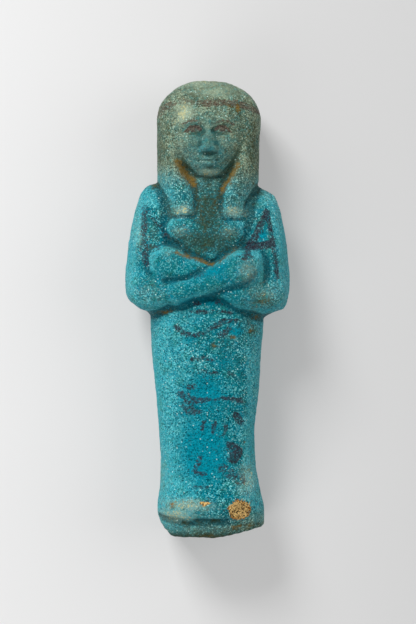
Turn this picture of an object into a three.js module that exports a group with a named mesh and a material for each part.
// An ushabti: an Egyptian funerary figurine of glazed faience, pressed in an open mould as one piece.
// It lies on its flat back. X runs across the figure, Y from the feet to the crown, Z out of the chest.
// Left and right are as seen from the front: left is -X. All sizes are in millimetres.
//
// The figure is one field: a function of a point that is negative inside the paste and positive outside.
// Each form, such as the wig or a forearm, is a field of its own, and soft unions lay them on each other.
// A sphere is then drawn out along the figure until every point of it lies where the field is zero.
import * as THREE from "three";
import { mergeVertices } from "three/addons/utils/BufferGeometryUtils.js";

// ---- Driving dimensions ----
const HEIGHT = 110; // foot of the sole to crown, before the sole was worn
const MID = 10; // height above the back at which each cross-section is widest
const BACK = -1; // where cross-sections would close, were they not cut flat at the back
const TRUNK_TOP = 87; // where body and shoulders end, inside the wig
const COLUMNS = 56; // points round the figure
const ROWS = 87; // points from sole to crown

// A curve through [position along Y, value] stations that never overshoots them.
function curve(...stations) {
  const y = stations.map((s) => s[0]);
  const v = stations.map((s) => s[1]);
  const chord = y.slice(1).map((end, i) => (v[i + 1] - v[i]) / (end - y[i]));
  const slope = y.map((_, i) => {
    const before = chord[i - 1] ?? chord[0];
    const after = chord[i] ?? chord[chord.length - 1];
    return before * after <= 0 ? 0 : (2 * before * after) / (before + after);
  });
  return (at) => {
    if (at <= y[0]) return v[0];
    const i = y.findIndex((end) => at < end) - 1;
    if (i < 0) return v[v.length - 1];
    const span = y[i + 1] - y[i];
    const t = (at - y[i]) / span;
    const rise = t * t * (3 - 2 * t);
    const lead = span * t * (1 - t) * ((1 - t) * slope[i] - t * slope[i + 1]);
    return v[i] + (v[i + 1] - v[i]) * rise + lead;
  };
}

// The wrapped body from the feet to the neck: half-widths to either side, and height of the front.
const BODY = {
  left: curve(
    [0, 12.1], [8, 12.1], [13, 11.5], [19, 11.4], [25, 11.7], [35, 12.5], [45, 13.5], [53, 13.8],
    [78, 13.6], [84, 11], [87, 8],
  ),
  right: curve(
    [0, 13.8], [6, 13.8], [12, 12.7], [17, 11.8], [24, 11.4], [35, 12.4], [45, 13.1], [53, 13.6],
    [78, 13.4], [84, 11], [87, 8],
  ),
  front: curve(
    [0, 18.4], [1.4, 19.8], [3.4, 20.9], [5, 21.9], [7, 22.8], [9, 23], [12, 22.2], [17, 20.4],
    [24, 19.6], [35, 20.2], [46, 21.6], [58, 22.8], [66, 22.9], [72, 22.3], [77, 21.3], [81, 20],
    [85, 18.7], [90, 18],
  ),
  frontPower: 2.3,
  backPower: 3,
};

// Shoulders and upper arms: one broad form whose lower corners are the elbows.
const SHOULDERS = {
  left: curve(
    [51, 8], [52.6, 11.5], [53.6, 13.6], [54.6, 15.2], [55.6, 17.2], [57, 19], [59, 19.8], [62, 19.9],
    [68, 19.3], [74, 18.4], [79.5, 17.2], [82.3, 16.3], [83.8, 15.3], [84.8, 14], [85.4, 11.8], [87, 8],
  ),
  right: curve(
    [51, 8], [52.4, 12.5], [53.3, 14.4], [54.2, 16.6], [54.9, 18.4], [56.5, 19.2], [59, 19.7], [62, 19.9],
    [68, 19.4], [74, 18.5], [79.5, 17.3], [82, 16.2], [83.2, 14.6], [84.3, 12.6], [85.2, 11.4], [87, 8],
  ),
  front: curve(
    [51, 12], [53, 15.5], [55, 18.8], [58, 21], [63, 21.9], [72, 21.5], [77, 20.4], [81, 18.6],
    [84, 16], [87, 13],
  ),
  frontPower: 2.6,
  backPower: 2.6,
};

// Soft hollows between the chest and the upper arms.
const ARMPIT = { depth: 0.9, halfWidth: 1.5 };
const ARMPITS = [
  [[-11.6, 84], [-10.4, 77], [-8.6, 70.5]],
  [[11.8, 83.5], [10.6, 77], [8.8, 70.5]],
];

// The wig: a column with a domed top, two front lappets and an opening for the face.
const WIG = {
  left: curve([74, 10.2], [79, 10.5], [83, 11.3], [85.6, 12.1], [96, 12.2], [101, 12.3]),
  right: curve([74, 9.9], [79, 10.4], [83, 11.4], [86, 12.4], [95, 12.6], [101, 13]),
  front: curve([74, 23], [79, 22.6], [83, 21.9], [88, 21.5], [94, 21.3], [100, 21.2]),
  frontPower: 2.8,
  backPower: 3,
  domeBase: 99.5,
  domePower: 2.15,
  ends: { left: 76.9, right: 76.2 },
  opening: curve([74, 2.4], [79, 2.8], [82.5, 4], [86, 6.1], [90, 7.6], [95, 8.2], [99, 8.2]),
  archDepth: 5, // springing to crown of the opening's arch
  floor: 17.6,
  draft: 0.75, // how far the opening's wall leans out for each millimetre of height
  rim: 20, // height at which the opening has its stated width
};

// The head is three and a half parts high: hairline to brow, brow to nose and nose to chin are one part
// each. The eyes lie half-way down, one eye's width apart, and the mouth a third of a part below the nose.
const HEAD = { vertex: 108.2, chin: 85.3, breadth: 16.4, axis: 0.2, depth: 12.2, front: 22.2, power: 2.35 };
const PART = (HEAD.vertex - HEAD.chin) / 3.5;
const FACE = {
  hairline: HEAD.chin + 3 * PART,
  brow: HEAD.chin + 2 * PART,
  eyes: (HEAD.vertex + HEAD.chin) / 2,
  nose: HEAD.chin + PART,
  mouth: HEAD.chin + (2 * PART) / 3,
  eye: HEAD.breadth / 10, // half an eye's width
};
const EYE_AT = 2 * FACE.eye;

// Hills and hollows of the face. Each lies [across, along] on both sides of the axis, with its
// half-width and half-length, its height over the mask, and how far its ends bend along Y.
const FEATURES = [
  { name: "brow", at: [3.4, FACE.brow + 0.35], size: [3, 0.75], high: 0.42, bend: -0.4 },
  { name: "eye socket", at: [EYE_AT, FACE.eyes + 0.1], size: [2.4, 1.25], high: -0.85, bend: -0.34 },
  { name: "eye", at: [EYE_AT, FACE.eyes + 0.1], size: [1.6, 0.72], high: 0.72, bend: -0.16 },
  { name: "nostril", at: [1.3, FACE.nose + 0.6], size: [0.8, 0.7], high: 0.5, bend: 0 },
  { name: "tip of the nose", at: [0, FACE.nose + 0.7], size: [0.9, 0.8], high: 0.35, bend: 0 },
  { name: "cheek", at: [4.5, FACE.nose + 1.6], size: [2.4, 2.4], high: 0.5, bend: 0 },
  { name: "muzzle", at: [0, FACE.mouth], size: [3, 2.3], high: 0.62, bend: 0 },
  { name: "upper lip", at: [0, FACE.mouth + 0.5], size: [1.9, 0.42], high: 0.36, bend: -0.25 },
  { name: "lower lip", at: [0, FACE.mouth - 0.55], size: [1.55, 0.48], high: 0.42, bend: 0.12 },
  { name: "mouth", at: [0, FACE.mouth], size: [2.2, 0.4], high: -0.55, bend: 0.09 },
  { name: "hollow under the lip", at: [0, FACE.mouth - 1.55], size: [1.9, 0.55], high: -0.35, bend: 0 },
  { name: "chin", at: [0, HEAD.chin + 1.5], size: [2.3, 1.25], high: 0.6, bend: 0 },
];

// Breasts, and the arms crossed on the belly. A limb's joints are [x, y, half-width, top height].
// The forearm from the left elbow lies on top, and each forearm ends in a fist.
const BREASTS = { at: [[-6.2, 73.6, 18.6], [4.6, 73.3, 18.8]], size: [3.8, 3, 3.8], power: 2.2 };
const LIMB = { rise: 5, power: 2.5 }; // height of a limb's section over its widest level, and its squareness
const UPPER_ARM = [[13.2, 77.5, 3, 18.6], [13.4, 69, 4.2, 20.2], [13.8, 60, 4.4, 21.9]];
const FOREARM_UNDER = [
  [13.8, 58.2, 4.3, 22.2], [8, 59.6, 4.6, 23.8], [1, 61.6, 3.8, 24.9], [-4, 63.2, 3.7, 25],
  [-8.5, 64.8, 4, 24.5],
];
const FOREARM_OVER = [
  [-14, 59.1, 4.3, 22.4], [-6.5, 58.9, 2.9, 25.1], [-1, 60.8, 2.9, 25.9], [6, 63.6, 4.1, 26],
];
const FISTS = { under: [-9.2, 65.3, 19.7], over: [8.8, 64.6, 21], size: [4.1, 4.1, 4.9], power: 2.6 };
const ARM_CREASE = { under: 0.3, over: 0.35, endsAt: 12.5, fade: 3 };
const ARM_SOFTNESS = { inner: 1.1, extra: 1.9, from: 8, over: 4 }; // how softly the arms join the trunk

// Creases where forms meet: round the wig and the face, and how they die out towards the back.
const HEAD_CREASE = 0.3;
const CREASE_END = { drop: 20, over: 3 };

// The worn foot: the crease under the toes, a flake lost down to the core, and the broken sole, which
// rises to the right from where the break starts and has its left corner knocked off.
const TOE_CREASE = { depth: 1.1, halfWidth: 0.65 };
const TOE_LINE = [[-11.2, 5.3], [-7.4, 4.9], [-4.6, 4.1], [-2.2, 4.9], [4.8, 4.7]];
const FLAKE = { x: 8.2, y: 5.9, radius: 3, depth: 0.5, edge: 0.8 };
const SOLE = { low: 0.7, breakAt: 1.2, climb: 0.17, cornerSlope: 1.15, cornerReach: 9.07 };

// ---- Fields ----
const softMin = (a, b, soft) => Math.min(a, b) - Math.max(soft - Math.abs(a - b), 0) ** 2 / (4 * soft);
const softMax = (a, b, soft) => -softMin(-a, -b, soft);
const clamp01 = (t) => Math.min(Math.max(t, 0), 1);
const bump = (...ratios) => Math.exp(-ratios.reduce((sum, r) => sum + r * r, 0));

// Lays a form on a base with a crease of the given depth along their join.
const layOn = (base, form, crease, soft) => softMin(softMax(base, crease - form, soft), form, soft);

// The depth of a crease on the front. Below the widest level it is so far negative that forms just merge.
const frontCrease = (depth, z) => depth - CREASE_END.drop * clamp01((MID - z) / CREASE_END.over);

// Turns a reach from a centre into a distance, given what share of the form's own reach it is.
const distance = (reach, share) => reach * (1 - 1 / Math.max(share, 1e-3));

// How far out a point lies as a share of its cross-section, which is a superellipse in each half.
function sectionShare(x, z, left, right, front, { frontPower, backPower }) {
  const half = x < 0 ? left : right;
  const rise = z > MID ? front - MID : MID - BACK;
  const power = z > MID ? frontPower : backPower;
  return (Math.abs(x / half) ** power + Math.abs((z - MID) / rise) ** power) ** (1 / power);
}

function trunk(x, y, z, form) {
  const share = sectionShare(x, z, form.left(y), form.right(y), form.front(y), form);
  return softMax(distance(Math.hypot(x, z - MID), share), y - TRUNK_TOP, 1.5);
}

// An egg-like form; a power over 2 makes it squarer.
function ovoid(dx, dy, dz, [rx, ry, rz], power) {
  const sum = Math.abs(dx / rx) ** power + Math.abs(dy / ry) ** power + Math.abs(dz / rz) ** power;
  return distance(Math.hypot(dx, dy, dz), sum ** (1 / power));
}

// Distance in plan from the line a-b, and how far along it the nearest place lies.
function planDistance(x, y, [ax, ay], [bx, by]) {
  const [ux, uy] = [bx - ax, by - ay];
  const along = clamp01(((x - ax) * ux + (y - ay) * uy) / (ux * ux + uy * uy));
  return [Math.hypot(x - ax - along * ux, y - ay - along * uy), along];
}

// A flattened limb through its joints.
function limb(x, y, z, joints) {
  let whole = Infinity;
  for (let i = 1; i < joints.length; i++) {
    const [a, b] = [joints[i - 1], joints[i]];
    const [away, along] = planDistance(x, y, a, b);
    const half = a[2] + (b[2] - a[2]) * along;
    const up = z - (a[3] + (b[3] - a[3]) * along - LIMB.rise);
    const sum = (away / half) ** LIMB.power + Math.abs(up / LIMB.rise) ** LIMB.power;
    const stretch = distance(Math.hypot(away, up), sum ** (1 / LIMB.power));
    whole = i === 1 ? stretch : softMin(whole, stretch, 2);
  }
  return whole;
}

// How strongly a furrow along a line of places cuts into the front, from 0 to 1.
function furrow(x, y, z, line, halfWidth) {
  const reaches = line.slice(1).map((end, i) => planDistance(x, y, line[i], end)[0]);
  return bump(Math.min(...reaches) / halfWidth) * clamp01(z - MID);
}

// Above the dome's base the wig's cross-section shrinks as the dome's own profile does.
function wigMass(x, y, z) {
  const top = HEIGHT - WIG.domeBase;
  const up = Math.max(y - WIG.domeBase, 0) / top;
  const share = sectionShare(x, z, WIG.left(y), WIG.right(y), WIG.front(y), WIG);
  const whole = (share ** WIG.domePower + up ** WIG.domePower) ** (1 / WIG.domePower);
  const end = x < 0 ? WIG.ends.left : WIG.ends.right;
  return softMax(distance(Math.hypot(x, z - MID, up * top), whole), end - y, 0.9);
}

// An arch over the forehead that narrows past the jaw and runs down between the lappets.
function wigOpening(x, y, z) {
  const half = WIG.opening(y);
  const crown = FACE.hairline - 1;
  const up = Math.max((y - crown) / WIG.archDepth + 1, 0);
  const across = Math.abs(x - HEAD.axis) / half;
  const wall = (Math.hypot(across, up) - 1) * half - WIG.draft * (z - WIG.rim);
  return softMax(wall, WIG.floor - z, 0.8);
}

// The nose: a ridge that widens and rises from the brow to its tip.
function nose(dx, y) {
  const run = clamp01((FACE.brow - y) / (FACE.brow - FACE.nose));
  const base = clamp01((y - FACE.nose + 0.35) / 0.7);
  const root = clamp01((FACE.brow + 1.4 - y) / 2.2);
  return (0.55 + 1.35 * run) * base * root * bump(dx / (0.85 + 0.75 * run));
}

function face(x, y, z) {
  const dx = x - HEAD.axis;
  const middle = (FACE.hairline + HEAD.chin) / 2;
  const jaw = clamp01((middle + 3 - y) / (middle + 3 - HEAD.chin));
  const half = (HEAD.breadth / 2 + 2.6) * (1 - 0.42 * jaw ** 1.8);
  const size = [half, middle - HEAD.chin + 1.6, HEAD.front - HEAD.depth];
  const mask = ovoid(dx, y - middle - 1, z - HEAD.depth, size, HEAD.power);
  const relief = FEATURES.reduce((sum, { at, size: [wide, tall], high, bend }) => {
    const across = (Math.abs(dx) - at[0]) / wide;
    return sum + high * bump(across, (y - at[1] - bend * across ** 2) / tall);
  }, nose(dx, y));
  return mask - relief;
}

function forearm(x, y, z, joints, [fx, fy, fz]) {
  return softMin(limb(x, y, z, joints), ovoid(x - fx, y - fy, z - fz, FISTS.size, FISTS.power), 2.2);
}

function layArms(base, x, y, z) {
  let d = base;
  for (const side of [-1, 1]) d = softMin(d, limb(side * x, y, z, UPPER_ARM), 2.5);
  const fade = clamp01((ARM_CREASE.endsAt - Math.abs(x)) / ARM_CREASE.fade);
  const [under, over] = [ARM_CREASE.under, ARM_CREASE.over].map((depth) => frontCrease(depth * fade, z));
  const outwards = clamp01((Math.abs(x) - ARM_SOFTNESS.from) / ARM_SOFTNESS.over);
  const soft = ARM_SOFTNESS.inner + ARM_SOFTNESS.extra * outwards;
  d = layOn(d, forearm(x, y, z, FOREARM_UNDER, FISTS.under), under, soft);
  return layOn(d, forearm(x, y, z, FOREARM_OVER, FISTS.over), over, soft);
}

function toeRelief(x, y, z) {
  const reach = FLAKE.radius - Math.hypot(x - FLAKE.x, y - FLAKE.y);
  const flake = FLAKE.depth * clamp01(reach / FLAKE.edge) * clamp01(z - MID);
  return flake + TOE_CREASE.depth * furrow(x, y, z, TOE_LINE, TOE_CREASE.halfWidth);
}

function sole(x, y) {
  const slope = SOLE.low + SOLE.climb * Math.max(x - SOLE.breakAt, 0) - y;
  const corner = (-x * SOLE.cornerSlope - y - SOLE.cornerReach) / Math.hypot(SOLE.cornerSlope, 1);
  return softMax(slope, corner, 1.2);
}

// The field of the whole figure.
function figure(x, y, z) {
  let d = softMin(trunk(x, y, z, BODY), trunk(x, y, z, SHOULDERS), 1.1);
  for (const line of ARMPITS) d += ARMPIT.depth * furrow(x, y, z, line, ARMPIT.halfWidth);
  for (const [bx, by, bz] of BREASTS.at) {
    d = softMin(d, ovoid(x - bx, y - by, z - bz, BREASTS.size, BREASTS.power), 1.4);
  }
  const crease = frontCrease(HEAD_CREASE, z);
  d = layOn(d, softMax(wigMass(x, y, z), -wigOpening(x, y, z), 1.4), crease, 0.9);
  d = layOn(d, face(x, y, z), crease, 0.9);
  d = layArms(d, x, y, z) + toeRelief(x, y, z);
  d = softMax(d, sole(x, y), 0.8);
  return softMax(d, -z, 0.9);
}

// ---- Surface ----
// The surface is drawn outwards from a flat spine. Its rows stand closest where there is most to show:
// each station is [share of the rows, place along the spine].
const SPINE = { depth: 6, halfWidth: 7, rows: curve([0, 6], [0.08, 12], [0.2, 50], [0.64, 84], [1, 98.5]) };
const REACH = 30; // farther from the spine than any point of the surface
const CAPS = { feet: 0.09, crown: 0.13 }; // share of the rows that fans out below the feet, over the crown
// How much closer the columns stand on the front than on the back, at each place along the spine.
const CROWDING = curve([12, 0.3], [50, 0.5], [76, 0.55], [86, 0.74], [98.5, 0.7]);
const EVENING_ROUNDS = 3;

// Where a point of the sphere starts, and the direction in which it is drawn out to the surface.
function ray(round, along) {
  const toFeet = clamp01(1 - along / CAPS.feet);
  const toCrown = clamp01((along - 1 + CAPS.crown) / CAPS.crown);
  const tilt = (Math.PI / 2) * (toCrown ** 0.9 - toFeet ** 0.75);
  const middle = clamp01((along - CAPS.feet) / (1 - CAPS.feet - CAPS.crown));
  const place = SPINE.rows(middle);
  const longitude = 2 * Math.PI * round;
  const turn = longitude - CROWDING(place) * Math.sin(longitude);
  const out = [Math.cos(tilt) * Math.sin(turn), Math.sin(tilt), Math.cos(tilt) * Math.cos(turn)];
  const start = [SPINE.halfWidth * out[0], place, SPINE.depth];
  return { start, out };
}

// The farthest point along the ray at which the field is zero.
function draw({ start, out }) {
  const at = (t) => figure(...start.map((s, i) => s + out[i] * t));
  const step = 0.25;
  let outer = REACH;
  while (outer > step && at(outer - step) > 0) outer -= step;
  let inner = outer - step;
  for (let halving = 0; halving < 16; halving++) {
    const half = (inner + outer) / 2;
    if (at(half) > 0) outer = half;
    else inner = half;
  }
  return start.map((s, i) => s + out[i] * inner);
}

function fieldSlope([x, y, z]) {
  const h = 0.02;
  const rise = (i) => {
    const [a, b] = [[x, y, z], [x, y, z]];
    a[i] += h;
    b[i] -= h;
    return (figure(...a) - figure(...b)) / (2 * h);
  };
  return new THREE.Vector3(rise(0), rise(1), rise(2));
}

// Evens out the spacing of the points, then puts each one back on the surface.
function evenOut(geometry) {
  const position = geometry.getAttribute("position");
  const corners = geometry.getIndex().array;
  const neighbours = Array.from({ length: position.count }, () => new Set());
  for (let i = 0; i < corners.length; i += 3) {
    const triangle = corners.slice(i, i + 3);
    for (const a of triangle) for (const b of triangle) if (a !== b) neighbours[a].add(b);
  }
  for (let round = 0; round < EVENING_ROUNDS; round++) {
    const old = position.array.slice();
    const point = (i) => new THREE.Vector3().fromArray(old, 3 * i);
    neighbours.forEach((around, i) => {
      const p = point(i);
      const middle = new THREE.Vector3();
      around.forEach((j) => middle.add(point(j)));
      const normal = fieldSlope(p.toArray()).normalize();
      const pull = middle.divideScalar(around.size).sub(p);
      p.addScaledVector(pull.addScaledVector(normal, -pull.dot(normal)), 0.5);
      for (let again = 0; again < 3; again++) {
        const slope = fieldSlope(p.toArray());
        p.addScaledVector(slope, -figure(p.x, p.y, p.z) / Math.max(slope.lengthSq(), 0.25));
      }
      position.setXYZ(i, p.x, p.y, p.z);
    });
  }
}

// Splits each four-sided cell of the sphere's grid along the diagonal that lies closer to the surface.
// The first and last COLUMNS triangles close the ends and stay as they are.
function chooseDiagonals(geometry) {
  const position = geometry.getAttribute("position").array;
  const corners = geometry.getIndex().array;
  const gap = (i, j) => {
    const middle = [0, 1, 2].map((axis) => (position[3 * i + axis] + position[3 * j + axis]) / 2);
    return Math.abs(figure(...middle));
  };
  for (let i = 3 * COLUMNS; i < corners.length - 3 * COLUMNS; i += 6) {
    const [a, b, d, , c] = corners.slice(i, i + 6);
    if (gap(a, c) < gap(b, d)) corners.set([a, b, c, a, c, d], i);
  }
}

function figureGeometry() {
  const sphere = new THREE.SphereGeometry(1, COLUMNS, ROWS);
  const uv = sphere.getAttribute("uv");
  const position = sphere.getAttribute("position");
  for (let i = 0; i < position.count; i++) {
    const pole = uv.getY(i) < 1e-6 || uv.getY(i) > 1 - 1e-6;
    position.setXYZ(i, ...draw(ray(pole ? 0 : uv.getX(i) % 1, uv.getY(i))));
  }
  sphere.deleteAttribute("uv");
  sphere.deleteAttribute("normal");
  const closed = mergeVertices(sphere, 1e-4);
  evenOut(closed);
  chooseDiagonals(closed);
  closed.computeVertexNormals();
  return closed;
}

const faience = new THREE.MeshStandardMaterial({ color: 0x2a8f9a, roughness: 0.45, metalness: 0 });
const ushabti = new THREE.Mesh(figureGeometry(), faience);
ushabti.name = "ushabti";

// The origin is on the surface it lies on, under the middle of the figure.
ushabti.geometry.computeBoundingBox();
const { min, max } = ushabti.geometry.boundingBox;
ushabti.position.set(-(min.x + max.x) / 2, -(min.y + max.y) / 2, -min.z);

const figurine = new THREE.Group();
figurine.add(ushabti);
export default figurine;
